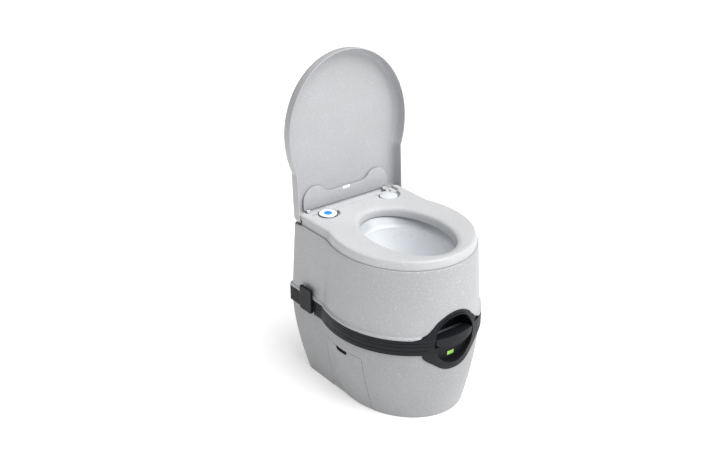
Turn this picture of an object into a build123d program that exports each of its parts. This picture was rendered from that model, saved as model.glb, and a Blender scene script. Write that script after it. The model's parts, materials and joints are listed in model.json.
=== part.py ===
from build123d import *

import os
from dataclasses import dataclass
from math import cos, degrees, hypot, pi, sin

# A portable camp toilet: a waste tank with a slide valve, a flush-water tank with the bowl
# latched on top of it, a seat, and a lid that stands open.
# Millimetres. Front is -Y, up is +Z, and the floor is at z = 0.

# ---------------------------------------------------------------- driving dimensions
WALL = 3.0                  # blow-moulded tank walls
CENTRE_Y = -10.5            # centre of the plan oval
REAR_LAG = 7.0              # the oval's rear end stops this far short of the rear edge

WASTE_TOP_Z = 200.0         # where the dark trim ring starts
RING_TOP_Z = 240.0          # where the trim ring ends
SPLIT_Z = 223.0             # the tanks part here
SPLIT_GAP = 0.5             # half the gap between the tanks
RING_THICK = 7.5
GROOVE_DEPTH, GROOVE_WIDTH = 0.9, 1.4
LIP_Z = 244.0               # top of the flush tank's flared lip
FLARE_Z = 251.0             # the lip's flare runs out here
TANK_TOP_Z = 416.0
TAPER_POWER = 1.6           # how the waste tank's sides curve in towards the base

SEAT_BOTTOM_Z = 416.5
SEAT_TOP_Z = 439.6
SEAT_DRAFT = 3.0
LID_RIM_Z = 417.5           # with the lid shut
LID_TOP_Z = 450.0
LID_WALL = 2.6
LID_OPEN = 93.0             # degrees from shut to its stop
LID_ROUND = 25.0            # round on the lid's rear top edge

HINGE_Y = 196.5
HINGE_Z = 427.5
KNUCKLE_R = 6.5
PIN_R = 3.0
RUNNING = 0.06              # radial clearance of a running fit

EYE_Z = 224.5               # centre of the oval hand hole in the front
EYE_HALF_WIDTH = 60.0
EYE_HALF_HEIGHT = 63.5
EYE_LINER = 2.5
EYE_UPPER_BACK_Y = -170.0   # back of the hand hole, above the split
EYE_GRIP_BACK_Y = -181.0    # behind the valve handle
EYE_LOWER_BACK_Y = -203.0   # the shallow face with the level window
EYE_STEP_Z = 205.0

VALVE_Y = -20.0             # centre of the bowl's outlet and of the valve
VALVE_R = 46.0
BLADE_R = 51.5
BLADE_Z = 213.0
BLADE_THICK = 3.0
BLADE_SEAL_R = 50.0
ROD_R = 4.0
ROD_Z = 214.5
GLAND_R = ROD_R + 3.5

CUT_HALF = 140.0            # seat's rear cut-out, between its hinge arms
CUT_FRONT_Y = 168.0
LOBE_X = 97.0
LOBE_Y = 165.0
LOBE_R = 34.0
DECK_TOP_Z = 433.5
DECK_BACK_Y = 183.0
BUTTON_X, BUTTON_Y, BUTTON_R = -91.0, 167.0, 23.0
STEM_R = 5.0                # guide stem under the flush button
CAP_X, CAP_Y, CAP_R = 100.0, 162.0, 23.5

DOOR_FRONT_Y, DOOR_BACK_Y, DOOR_TOP_Z = -80.0, 68.0, 163.0
DOOR_HINGE_X, DOOR_HINGE_Z = -143.5, 16.0
DOOR_THICK = 3.0
DOOR_PIN_R = 1.5
LATCH_Y, LATCH_LENGTH = 138.0, 48.0
LATCH_PIN_X, LATCH_PIN_Z, LATCH_PIN_R = 177.5, 208.0, 1.5
LATCH_PIN_HALF = 28.0

SPOUT_X, SPOUT_Y, SPOUT_Z, SPOUT_R = 118.0, 187.0, 170.0, 21.0
NECK_R = 17.0               # the neck that the spout turns on
SPOUT_END_X = -12.0
VENT_X, VENT_Z, VENT_R = -95.0, 170.0, 11.0
VENT_BUTTON_R = 8.0
FLOAT_Y, FLOAT_Z = -186.0, 178.0
FLOAT_BALL, FLOAT_BALL_R = (0.0, -112.0, 110.0), 18.0
FLOAT_DRUM_R, FLOAT_PIN_R = 5.5, 1.2

FAR = 600.0                 # larger than the object, for cutting tools


# ---------------------------------------------------------------- plan outlines
@dataclass
class Plan:
    """An outline seen from above: an oval with a square-cornered block behind it."""

    half: float             # half-width of the oval
    front: float            # from the oval's centre to its front tip
    block: float            # half-width of the block
    back: float             # from the oval's centre to the rear edge
    corner: float = 14.0    # radius of the rear corners
    neck: float = 18.0      # radius of the hollow where oval and block meet

    def grown(self, by):
        corner = max(self.corner + by, 2.0)
        neck = max(self.neck - by, 4.0)
        return Plan(self.half + by, self.front + by, self.block + by, self.back + by, corner, neck)

    def mixed(self, other, share):
        names = ("half", "front", "block", "back")
        return Plan(*[getattr(self, n) * (1 - share) + getattr(other, n) * share for n in names])


RING = Plan(194.0, 214.5, 178.5, 235.5)
WASTE_TOP = Plan(189.5, 210.0, 174.0, 231.0)
WASTE_BASE = Plan(149.5, 184.5, 148.0, 195.5)
FLUSH_BASE = Plan(188.0, 208.5, 174.0, 229.5)
FLUSH_TOP = Plan(179.0, 199.5, 168.0, 222.5)
SEAT = Plan(172.2, 192.8, 156.7, 213.8)
LID = Plan(180.6, 199.0, 164.8, 217.5)


def waste_plan(z):
    share = ((WASTE_TOP_Z - z) / WASTE_TOP_Z) ** TAPER_POWER
    return WASTE_TOP.mixed(WASTE_BASE, share)


def flush_plan(z):
    share = (z - FLARE_Z) / (TANK_TOP_Z - FLARE_Z)
    return FLUSH_BASE.mixed(FLUSH_TOP, share)


def plan_face(plan, z):
    """The face of a plan outline at height z. Its edges always come in the same order."""
    rear = plan.back - REAR_LAG
    low, high = 0.0, pi / 2
    for _ in range(50):
        angle = (low + high) / 2
        nx, ny = cos(angle) / plan.half, sin(angle) / rear
        nx, ny = nx / hypot(nx, ny), ny / hypot(nx, ny)
        if plan.half * cos(angle) + plan.neck * nx > plan.block + plan.neck:
            low = angle
        else:
            high = angle
    leave = Vector(plan.half * cos(angle), rear * sin(angle))
    hollow = leave + Vector(nx, ny) * plan.neck
    halfway = Vector(-nx - 1, -ny).normalized() * plan.neck + hollow
    side_start = Vector(plan.block, hollow.Y)
    side_end = Vector(plan.block, plan.back - plan.corner)
    corner_mid = Vector(plan.block, plan.back) - Vector(1, 1) * plan.corner * (1 - cos(pi / 4))
    back_end = Vector(plan.block - plan.corner, plan.back)

    def left(point):
        return Vector(-point.X, point.Y)

    turn = degrees(angle)
    edges = [
        Edge.make_ellipse(plan.half, plan.front, Plane.XY, 180, 360),
        Edge.make_ellipse(plan.half, rear, Plane.XY, 0, turn),
        ThreePointArc(leave, halfway, side_start),
        Line(side_start, side_end),
        ThreePointArc(side_end, corner_mid, back_end),
        Line(back_end, left(back_end)),
        ThreePointArc(left(back_end), left(corner_mid), left(side_end)),
        Line(left(side_end), left(side_start)),
        ThreePointArc(left(side_start), left(halfway), left(leave)),
        Edge.make_ellipse(plan.half, rear, Plane.XY, 180 - turn, 180),
    ]
    return Pos(0, CENTRE_Y, z) * Face(Wire(edges))


def plan_solid(levels, ruled=False):
    """A solid through plan outlines, given as (height, outline) pairs."""
    return loft([plan_face(plan, z) for z, plan in levels], ruled=ruled)


def oval_face(x, y, z, half_x, half_y):
    return Pos(x, y, z) * Face(Wire([Edge.make_ellipse(half_x, half_y)]))


def block_between(low, high):
    size = [b - a for a, b in zip(low, high)]
    return Pos(*[(a + b) / 2 for a, b in zip(low, high)]) * Box(*size)


def rod_along(axis, centre, radius, start, end):
    """A round rod along X, Y or Z. Centre gives the other two coordinates in order."""
    length = end - start
    middle = (start + end) / 2
    if axis == "X":
        return Pos(middle, *centre) * Rot(0, 90, 0) * Cylinder(radius, length)
    if axis == "Y":
        return Pos(centre[0], middle, centre[1]) * Rot(90, 0, 0) * Cylinder(radius, length)
    return Pos(*centre, middle) * Cylinder(radius, length)


def tube_along(axis, centre, outer, inner, start, end):
    return rod_along(axis, centre, outer, start, end) - rod_along(axis, centre, inner, start, end)


def front_prism(sketch, y_from, y_to):
    """An outline drawn in X and Z, run from y_from to y_to."""
    plane = Plane(origin=(0, y_to, 0), x_dir=(1, 0, 0), z_dir=(0, -1, 0))
    return extrude(plane * sketch, y_to - y_from)


def side_prism(points, x_from, x_to):
    """A polygon of (y, z) points, run from x_from to x_to."""
    wire = Polyline(*[(x_from, y, z) for y, z in points], close=True)
    return extrude(make_face(wire), x_to - x_from, dir=(1, 0, 0))


def both_sides(solid):
    return [solid, mirror(solid, Plane.YZ)]


# ---------------------------------------------------------------- tank bodies
def waste_form(by=0.0, low=0.0, high=WASTE_TOP_Z):
    """The waste tank's outer form below the ring, grown by an amount, between two heights."""
    steps = 3
    heights = [low + (high - low) * i / steps for i in range(steps + 1)]
    return plan_solid([(z, waste_plan(z).grown(by)) for z in heights])


def flush_form(by=0.0, low=FLARE_Z, high=TANK_TOP_Z):
    """The flush tank's outer form above its flare, grown by an amount."""
    return plan_solid([(z, flush_plan(z).grown(by)) for z in (low, high)])


def eye_outline():
    """The dark surround of the hand hole: it swells out of the ring above and below."""
    upper = [(112, 240), (74, 252.5), (60, 268), (37, 288), (0, 299)]
    lower = [(112, 200), (85, 190.5), (58, 166), (32, 148.5), (0, 143)]
    top = [(-x, z) for x, z in upper] + [(x, z) for x, z in upper[-2::-1]]
    bottom = [(x, z) for x, z in lower] + [(-x, z) for x, z in lower[-2::-1]]
    along = (1, 0)
    back = (-1, 0)
    edges = [
        Spline(*top, tangents=[along, along]),
        Line(top[-1], bottom[0]),
        Spline(*bottom, tangents=[back, back]),
        Line(bottom[-1], top[0]),
    ]
    return make_face(edges)


def eye_hole(by):
    """The hand hole's space, grown by an amount: a deep upper part, a bay and a shallow face."""
    oval = Pos(0, EYE_Z) * Ellipse(EYE_HALF_WIDTH + by, EYE_HALF_HEIGHT + by)
    low, high = EYE_Z - EYE_HALF_HEIGHT - by, EYE_Z + EYE_HALF_HEIGHT + by
    half = EYE_HALF_WIDTH + by
    step = EYE_STEP_Z - by
    lower = block_between((-half, -FAR, low), (half, EYE_LOWER_BACK_Y + by, step))
    grip = block_between((-half, -FAR, step), (half, EYE_GRIP_BACK_Y + by, SPLIT_Z))
    upper = block_between((-half, -FAR, SPLIT_Z), (half, EYE_UPPER_BACK_Y + by, high))
    return front_prism(oval, -FAR, 0) & (lower + grip + upper)


def eye_skin():
    """The surround as a skin over both tanks, from just proud of them to under their walls."""
    proud = 1.5
    heights = [138.0, 170.0]
    levels = [(z, waste_plan(z).grown(proud)) for z in heights]
    levels += [(WASTE_TOP_Z, RING), (RING_TOP_Z, RING)]
    levels += [(z, flush_plan(z).grown(proud)) for z in (265.0, 302.0)]
    outer = plan_solid(levels, ruled=True)
    inner = plan_solid([(z, plan.grown(-RING_THICK)) for z, plan in levels], ruled=True)
    front = block_between((-FAR, -FAR, 0), (FAR, -100, FAR))
    return (outer - inner) & front_prism(eye_outline(), -FAR, 0) & front


def ring_band(low, high):
    outer = plan_solid([(low, RING), (high, RING)])
    return outer - plan_solid([(low, RING.grown(-RING_THICK)), (high, RING.grown(-RING_THICK))])


def ring_groove(z):
    """A fine groove round the ring, which stops short of the hand hole's rim."""
    half_width = GROOVE_WIDTH / 2
    rim = EYE_HALF_WIDTH + 14.0
    levels = (z - half_width, z + half_width)
    band = plan_solid([(level, RING.grown(1.0)) for level in levels])
    band -= plan_solid([(level, RING.grown(-GROOVE_DEPTH)) for level in levels])
    return band - block_between((-rim, -FAR, z - 5), (rim, 0, z + 5))


def trim(low, high, band_low, band_high, groove_z):
    """One half of the dark trim: its part of the ring, of the surround and of the hole's liner."""
    reach = RING.grown(-RING_THICK / 2)
    liner = eye_hole(EYE_LINER) & plan_solid([(low, reach), (high, reach)])
    whole = eye_skin() + liner
    half = block_between((-FAR, -FAR, low), (FAR, FAR, high))
    return (whole & half) + ring_band(band_low, band_high) - eye_hole(0) - ring_groove(groove_z)


def door_window(gap, low):
    """The space of the paper door in the tank's left side, grown by a gap, from a height up."""
    corner = 8.0
    height = DOOR_TOP_Z + gap - low
    length = DOOR_BACK_Y - DOOR_FRONT_Y + 2 * gap
    sketch = Pos((DOOR_BACK_Y + DOOR_FRONT_Y) / 2, low + height / 2) * Rectangle(length, height)
    sketch = fillet(sketch.vertices().group_by(Axis.Y)[-1], corner)
    plane = Plane(origin=(0, 0, 0), x_dir=(0, 1, 0), z_dir=(1, 0, 0))
    return extrude(plane * sketch, -FAR)


def under_skin(form, depth):
    """What is left of a cutting form outside the tank's surface pushed in by a depth."""
    return form - waste_form(-depth, -1.0, WASTE_TOP_Z)


# ---------------------------------------------------------------- waste tank and its fittings
SKIRT = RING.grown(-RING_THICK)
WASTE_LID_Z = SPLIT_Z - 2.0          # top plate of the waste tank
POCKET = ((-FAR, -72.0, 20.0), (-62.0, 60.0, 150.0))          # space for the paper roll
SWING = ((-FAR, -81.0, -1.0), (-127.0, 69.0, 20.0))           # where the door's foot swings
SPOUT_BAY = ((-42.0, 158.0, 142.0), (152.0, FAR, 197.0))      # recess of the pouring spout
VALVE_BOX = ((-58.0, -175.0, 206.0), (58.0, 40.0, WASTE_LID_Z))


def grown_block(bounds, by):
    low, high = bounds
    return block_between([v - by for v in low], [v + by for v in high])


def waste_tank():
    body = waste_form() + plan_solid([(WASTE_TOP_Z - 6, SKIRT), (WASTE_LID_Z, SKIRT)])
    chamber = waste_form(-WALL, WALL, WASTE_TOP_Z - 4)
    inner_skirt = SKIRT.grown(-WALL)
    chamber += plan_solid([(WASTE_TOP_Z - 8, inner_skirt), (WASTE_LID_Z - WALL, inner_skirt)])
    chamber -= eye_hole(EYE_LINER + WALL)
    chamber -= grown_block(POCKET, WALL) + grown_block(SWING, WALL) + grown_block(SPOUT_BAY, WALL)
    chamber -= under_skin(door_window(WALL + 0.6, -5), DOOR_THICK + WALL + 0.4)
    for side in (-1, 1):
        chamber -= block_between((side * 90 - 85, -FAR, 120), (side * 90 + 85, -195, 300))
    body = body - chamber - eye_hole(EYE_LINER) - eye_skin()
    body -= under_skin(door_window(0.6, -1), DOOR_THICK + 0.4)
    body = body - grown_block(POCKET, 0) - grown_block(SWING, 0) - grown_block(SPOUT_BAY, 0)
    body -= block_between(*VALVE_BOX)
    body -= rod_along("Y", (0, ROD_Z), GLAND_R, EYE_GRIP_BACK_Y - 1, -174)
    body -= rod_along("Y", (VENT_X, VENT_Z), VENT_R, 202, FAR)
    body -= rod_along("Z", (SPOUT_X, SPOUT_Y), NECK_R, 130, 145)
    body -= front_prism(Pos(0, FLOAT_Z) * Rectangle(20, 10), -FAR, -190)
    return body


def latch_pin():
    start, end = LATCH_Y - LATCH_PIN_HALF, LATCH_Y + LATCH_PIN_HALF
    return rod_along("Y", (LATCH_PIN_X, LATCH_PIN_Z), LATCH_PIN_R, start, end)


def lower_trim():
    top = SPLIT_Z - SPLIT_GAP
    body = trim(138.0, top, WASTE_TOP_Z, top, 211.5)
    bay = block_between((172.6, LATCH_Y - 25.5, 190), (FAR, LATCH_Y + 25.5, 230))
    for cut in both_sides(bay) + both_sides(latch_pin()):
        body -= cut
    body -= rod_along("Y", (0, ROD_Z), GLAND_R, EYE_GRIP_BACK_Y - 1, -170)
    body -= front_prism(Pos(0, FLOAT_Z) * Rectangle(20, 10), -FAR, -190)
    return body


def level_window():
    return front_prism(Pos(0, FLOAT_Z) * Rectangle(20, 10), EYE_LOWER_BACK_Y - 0.5, -199.0)


def rod_gland():
    return tube_along("Y", (0, ROD_Z), GLAND_R, ROD_R + RUNNING, EYE_GRIP_BACK_Y, -175.5)


def valve_body():
    body = block_between(*VALVE_BOX)
    slot_low, slot_high = BLADE_Z - 0.4, BLADE_Z + BLADE_THICK + 0.4
    slot = block_between((-BLADE_R - 1, -171, slot_low), (BLADE_R + 1, VALVE_Y, slot_high))
    slot += Pos(0, VALVE_Y, (slot_low + slot_high) / 2) * Cylinder(BLADE_R + 1, slot_high - slot_low)
    body -= slot
    body -= rod_along("Z", (0, VALVE_Y), VALVE_R, 200, 230)
    body -= rod_along("Y", (0, ROD_Z), ROD_R + 0.5, -180, -70)
    body -= tube_along("Z", (0, VALVE_Y), BLADE_SEAL_R, VALVE_R, slot_high - 0.1, slot_high + 2)
    return body


def blade_seal():
    low = BLADE_Z + BLADE_THICK + 0.35
    return tube_along("Z", (0, VALVE_Y), BLADE_SEAL_R, VALVE_R, low, low + 2.05)


def lip_seal():
    foot = tube_along("Z", (0, VALVE_Y), 55.0, VALVE_R, WASTE_LID_Z, WASTE_LID_Z + 1)
    return foot + tube_along("Z", (0, VALVE_Y), 52.0, VALVE_R, WASTE_LID_Z + 1, SPLIT_Z + 0.2)


def valve_blade():
    middle = BLADE_Z + BLADE_THICK / 2
    front_y = VALVE_Y - BLADE_R
    blade = block_between((-BLADE_R, front_y, BLADE_Z), (BLADE_R, VALVE_Y, BLADE_Z + BLADE_THICK))
    return blade + Pos(0, VALVE_Y, middle) * Cylinder(BLADE_R, BLADE_THICK)


def valve_rod():
    return rod_along("Y", (0, ROD_Z), ROD_R, -200, VALVE_Y - BLADE_R)


def valve_handle():
    """A bar across the hand hole, straight on top and bellied below."""
    half, top, ends, belly = EYE_HALF_WIDTH - 3.5, 237.0, 221.0, 207.5
    edges = [
        Line((-half, top), (half, top)),
        Line((half, top), (half, ends)),
        ThreePointArc((half, ends), (0, belly), (-half, ends)),
        Line((-half, ends), (-half, top)),
    ]
    bar = front_prism(make_face(edges), -FAR, -194.0)
    bar &= plan_solid([(200, RING.grown(-0.5)), (240, RING.grown(-0.5))])
    bar = fillet(bar.edges().filter_by(GeomType.LINE).group_by(Axis.Y)[0], 2.0)
    return bar - rod_along("Y", (0, ROD_Z), ROD_R, -200, -190)


def spout_neck():
    neck = tube_along("Z", (SPOUT_X, SPOUT_Y), NECK_R, NECK_R - WALL, 136, 166)
    return neck + tube_along("Z", (SPOUT_X, SPOUT_Y), 20.5, NECK_R, 142, 144)


def spout_seal():
    return tube_along("Z", (SPOUT_X, SPOUT_Y), NECK_R + 0.9, NECK_R, 150, 152.5)


def spout_elbow():
    centre = (SPOUT_X, SPOUT_Y)

    def elbow(radius, low, end):
        return (rod_along("Z", centre, radius, low, SPOUT_Z) + Pos(*centre, SPOUT_Z) * Sphere(radius)
                + rod_along("X", (SPOUT_Y, SPOUT_Z), radius, end, SPOUT_X))

    return elbow(SPOUT_R, 144.5, SPOUT_END_X) - elbow(SPOUT_R - WALL, 140, SPOUT_END_X - 1)


def spout_cap():
    cup = rod_along("X", (SPOUT_Y, SPOUT_Z), SPOUT_R + WALL, SPOUT_END_X - 18, SPOUT_END_X + 6)
    cup -= rod_along("X", (SPOUT_Y, SPOUT_Z), SPOUT_R + 0.3, SPOUT_END_X - 14, 0)
    ribs = 18
    for i in range(ribs):
        turn = 360 * i / ribs
        groove = rod_along("X", (24.5, 0), 1.2, -31, -12)
        cup -= Pos(0, SPOUT_Y, SPOUT_Z) * Rot(turn, 0, 0) * groove
    return cup


def cap_gasket():
    return tube_along("X", (SPOUT_Y, SPOUT_Z), 20.0, 12.0, -26, -24)


def vent_body():
    bore = VENT_BUTTON_R + 0.5
    cup = rod_along("Y", (VENT_X, VENT_Z), VENT_R, 204, 220)
    cup += tube_along("Y", (VENT_X, VENT_Z), VENT_R + 2, bore, 220, 221.5)
    return cup - rod_along("Y", (VENT_X, VENT_Z), bore, 207, 225)


def vent_button():
    return rod_along("Y", (VENT_X, VENT_Z), VENT_BUTTON_R, 213, 224.5)


def vent_spring():
    return tube_along("Y", (VENT_X, VENT_Z), 5.0, 3.6, 207, 213)


def roll_spindle():
    centre, radius = (-117, 85), 5.0
    start, end = POCKET[0][1], POCKET[1][1]
    flanges = tube_along("Y", centre, radius + 3, radius, start, start + 3)
    flanges += tube_along("Y", centre, radius + 3, radius, end - 3, end)
    return rod_along("Y", centre, radius, start, end) + flanges


DOOR_LUGS_Y = (-44.0, 50.0)


def door_pins():
    hinge = (DOOR_HINGE_X, DOOR_HINGE_Z)
    return Compound(children=[rod_along("Y", hinge, DOOR_PIN_R, y - 9, y + 9) for y in DOOR_LUGS_Y])


def door_hinge_lugs():
    """Ears on the tank that hold each door pin on both sides of the door's knuckle."""
    ear_r = 3.0
    root_x = SWING[1][0] + 1.0
    ears = Part()
    for y in DOOR_LUGS_Y:
        for side in (-1, 1):
            start, end = sorted((y + side * 5.5, y + side * 9))
            hinge = (DOOR_HINGE_X, DOOR_HINGE_Z)
            ear = block_between((DOOR_HINGE_X, start, DOOR_HINGE_Z - ear_r), (root_x, end, SWING[1][2]))
            ear += rod_along("Y", hinge, ear_r, start, end)
            ears += ear - rod_along("Y", hinge, DOOR_PIN_R, start - 1, end + 1)
    return ears


def roll_door():
    panel = door_window(0, 2.0) & waste_form(0, 0, WASTE_TOP_Z)
    panel -= waste_form(-DOOR_THICK, -1, WASTE_TOP_Z)
    notch = side_prism([(-33, DOOR_TOP_Z - 11), (-33, 170), (9, 170), (9, DOOR_TOP_Z - 11)], -FAR, 0)
    notch = fillet(notch.edges().filter_by(Axis.X).group_by(Axis.Z)[0], 8.0)
    panel -= notch
    for y in DOOR_LUGS_Y:
        web = block_between((-150, y - 5, DOOR_HINGE_Z - 3), (DOOR_HINGE_X, y + 5, DOOR_HINGE_Z + 3))
        knuckle = rod_along("Y", (DOOR_HINGE_X, DOOR_HINGE_Z), 3.6, y - 5, y + 5)
        panel += web + knuckle
    for y in DOOR_LUGS_Y:
        panel -= rod_along("Y", (DOOR_HINGE_X, DOOR_HINGE_Z), DOOR_PIN_R + RUNNING, y - 6, y + 6)
    return panel


def latch(side):
    """An outward-swinging clip, pinned in the lower ring."""
    inner, outer = 180.0, 186.5
    front_y, back_y = LATCH_Y - LATCH_LENGTH / 2, LATCH_Y + LATCH_LENGTH / 2
    plate = block_between((inner, front_y, 201), (outer, back_y, 267))
    plate = fillet(plate.edges().filter_by(Axis.X), 5.0)
    plate = fillet(plate.faces().sort_by(Axis.X)[-1].edges(), 1.5)
    plate += block_between((LATCH_PIN_X, front_y + 2, 205), (inner + 1, back_y - 2, 211))
    plate += rod_along("Y", (LATCH_PIN_X, LATCH_PIN_Z), 3.2, front_y + 2, back_y - 2)
    plate -= rod_along("Y", (LATCH_PIN_X, LATCH_PIN_Z), LATCH_PIN_R + RUNNING, 0, 300)
    return plate if side > 0 else mirror(plate, Plane.YZ)


def latch_pins():
    return Compound(children=both_sides(latch_pin()))


def float_bracket():
    base = block_between((-14, -197 + 2, 168), (14, -193, 188))
    ears = [block_between((s * 12 - 2, -195, 170), (s * 12 + 2, -182, 184)) for s in (-1, 1)]
    pin = rod_along("X", (FLOAT_Y, FLOAT_Z), FLOAT_PIN_R, -14, 14)
    return base + ears[0] + ears[1] + pin


def level_indicator():
    drum = rod_along("X", (FLOAT_Y, FLOAT_Z), FLOAT_DRUM_R, -9, 9)
    return drum - rod_along("X", (FLOAT_Y, FLOAT_Z), FLOAT_PIN_R + RUNNING, -10, 10)


def float_arm():
    start = Vector(0, FLOAT_Y, FLOAT_Z)
    run = Vector(*FLOAT_BALL) - start
    first = FLOAT_DRUM_R + 0.1
    plane = Plane(origin=start + run * (first / run.length), z_dir=run)
    arm = extrude(plane * Circle(2.0), run.length - first - FLOAT_BALL_R + 1)
    arm -= rod_along("X", (FLOAT_Y, FLOAT_Z), FLOAT_DRUM_R, -9, 9)
    return arm - Pos(*FLOAT_BALL) * Sphere(FLOAT_BALL_R)


def float_ball():
    return Pos(*FLOAT_BALL) * Sphere(FLOAT_BALL_R)


# ---------------------------------------------------------------- flush tank and its fittings
FLUSH_FLOOR_Z = SPLIT_Z + SPLIT_GAP + 0.5
BOWL = [
    # height, half-width, half-length, centre y
    (392.0, 103.0, 127.0, -40.0),
    (300.0, 70.0, 85.0, -30.0),
    (252.0, VALVE_R, VALVE_R, VALVE_Y),
]
BOWL_RIM = (415.0, 108.0, 146.0, -34.0)
BOWL_WALL = 3.0


def bowl_form(by):
    """The bowl's hollow, grown by an amount: a throat, a dished part and an upright rim."""
    dish = loft([oval_face(0, y, z, a + by, b + by) for z, a, b, y in BOWL])
    rim_z, rim_a, rim_b, rim_y = BOWL_RIM
    z, a, b, y = BOWL[0]
    rim = loft([oval_face(0, y, z, a + by, b + by), oval_face(0, rim_y, rim_z, rim_a + by, rim_b + by)])
    throat = rod_along("Z", (0, VALVE_Y), VALVE_R + by, FLUSH_FLOOR_Z, BOWL[-1][0])
    return dish + rim + throat


def rim_plate(by, low, high):
    _, a, b, y = BOWL_RIM
    return extrude(oval_face(0, y, low, a + by, b + by), high - low)


NOZZLE_X, NOZZLE_Z = -20.0, 406.0
NOZZLE_R = 6.0
HOSE_R, HOSE_BORE_R = 5.0, 3.5


def bowl():
    shell = bowl_form(BOWL_WALL) + rim_plate(10, 414.5, TANK_TOP_Z)
    shell -= bowl_form(0)
    shell -= rim_plate(0, 414, 420)
    shell -= rod_along("Z", (0, VALVE_Y), VALVE_R, 210, 260)
    return shell - rod_along("Y", (NOZZLE_X, NOZZLE_Z), NOZZLE_R, 60, 130)


TROUGH = ((-165.6, DECK_BACK_Y, 411.8), (165.6, 209.5, FAR))   # room for the lid's heel to swing


def flush_tank():
    skirt = RING.grown(-RING_THICK)
    body = plan_solid([(FLUSH_FLOOR_Z, skirt), (FLARE_Z, skirt)]) + flush_form()
    lip = [(RING_TOP_Z, RING), (LIP_Z, RING.grown(-0.4)), (FLARE_Z, flush_plan(FLARE_Z))]
    body += plan_solid(lip, ruled=True)
    inner = skirt.grown(-WALL)
    levels = [(FLUSH_FLOOR_Z + WALL, inner), (FLARE_Z - 4, inner),
              (FLARE_Z, flush_plan(FLARE_Z).grown(-WALL)), (TANK_TOP_Z - WALL, FLUSH_TOP.grown(-WALL))]
    chamber = plan_solid(levels, ruled=True)
    chamber -= eye_hole(EYE_LINER + WALL)
    chamber -= block_between((-85, -FAR, 200), (85, -207, 310))
    chamber -= grown_block(TROUGH, WALL)
    body = body - chamber - eye_hole(EYE_LINER) - eye_skin()
    body -= block_between(*TROUGH)
    body = body - bowl_form(BOWL_WALL) - rim_plate(10, 414.5, 420)
    body -= rod_along("Z", (0, VALVE_Y), VALVE_R + BOWL_WALL, 220, 260)
    return body - rod_along("Z", (CAP_X, CAP_Y), 20.0, 400, 420)


def upper_trim():
    bottom = SPLIT_Z + SPLIT_GAP
    return trim(bottom, 302.0, bottom, RING_TOP_Z, 232.0)


def outlet_gasket():
    outer = VALVE_R + BOWL_WALL + 6
    low = FLUSH_FLOOR_Z + WALL
    return tube_along("Z", (0, VALVE_Y), outer, VALVE_R + BOWL_WALL, low, low + 3)


def cut_out(gap, low, high, back):
    """The seat's rear cut-out and what stands in it, smaller by a gap: a strip and two lobes."""
    depth = back - CUT_FRONT_Y - gap
    sketch = Pos(0, CUT_FRONT_Y + gap + depth / 2) * Rectangle(2 * (CUT_HALF - gap), depth)
    for side in (-1, 1):
        sketch += Pos(side * LOBE_X, LOBE_Y) * Circle(LOBE_R - gap)
    corners = [v for v in sketch.vertices() if abs(v.Y - CUT_FRONT_Y - gap) < 0.01]
    sketch = fillet([v for v in corners if abs(v.X) < LOBE_X], 8.0 + gap)
    sketch = fillet([v for v in corners if LOBE_X < abs(v.X) < CUT_HALF - gap - 1], 4.0 + gap)
    sketch &= Pos(0, back - FAR / 2) * Rectangle(FAR, FAR)
    return extrude(Pos(0, 0, low) * sketch, high - low)


def control_deck():
    gap, thick = 1.2, 2.5
    deck = cut_out(gap, TANK_TOP_Z, DECK_TOP_Z, DECK_BACK_Y)
    deck = fillet(deck.faces().sort_by(Axis.Z)[-1].edges().filter_by(lambda e: e.center().Y < 180), 1.5)
    deck -= cut_out(gap + thick, TANK_TOP_Z - 1, DECK_TOP_Z - thick, DECK_BACK_Y - thick)
    cup = rod_along("Z", (BUTTON_X, BUTTON_Y), BUTTON_R + 2.6, 418, DECK_TOP_Z - 0.2)
    pit = rod_along("Z", (CAP_X, CAP_Y), CAP_R + 6, 421.5, DECK_TOP_Z - 0.2)
    deck += (cup + pit) & cut_out(gap, TANK_TOP_Z, DECK_TOP_Z - 0.2, DECK_BACK_Y)
    deck -= rod_along("Z", (BUTTON_X, BUTTON_Y), BUTTON_R + 0.4, 420, 440)
    deck -= rod_along("Z", (BUTTON_X, BUTTON_Y), STEM_R + RUNNING, 415, 421)
    deck -= rod_along("Z", (CAP_X, CAP_Y), CAP_R + 3.5, 424, 440)
    deck -= rod_along("Z", (CAP_X, CAP_Y), 20.0, 415, 430)
    for side in (-1, 1):
        start, end = sorted((side * 127.0, side * (CUT_HALF - gap)))
        low = HINGE_Z - KNUCKLE_R
        deck += block_between((start, DECK_BACK_Y - 5, low), (end, HINGE_Y, HINGE_Z + KNUCKLE_R))
        deck += rod_along("X", (HINGE_Y, HINGE_Z), KNUCKLE_R, start, end)
        deck -= rod_along("X", (HINGE_Y, HINGE_Z), PIN_R, start - 1, end + 1)
    return deck


def hinge_pins():
    pin = rod_along("X", (HINGE_Y, HINGE_Z), PIN_R, 116, 163.5)
    return Compound(children=both_sides(pin))


def button_bezel():
    return tube_along("Z", (BUTTON_X, BUTTON_Y), 26.0, BUTTON_R + 0.4, DECK_TOP_Z, 436.2)


def flush_button():
    disc = rod_along("Z", (BUTTON_X, BUTTON_Y), BUTTON_R, 432.5, 437)
    disc = fillet(disc.edges().group_by(Axis.Z)[-1], 1.2)
    return disc + rod_along("Z", (BUTTON_X, BUTTON_Y), STEM_R, 419.5, 433)


def button_dot():
    return rod_along("Z", (BUTTON_X, BUTTON_Y), 10.3, 437, 437.4)


def button_spring():
    return tube_along("Z", (BUTTON_X, BUTTON_Y), 9.0, 7.4, 420, 432.5)


def fill_neck():
    return tube_along("Z", (CAP_X, CAP_Y), 20.0, 17.0, 400, 432)


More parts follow.
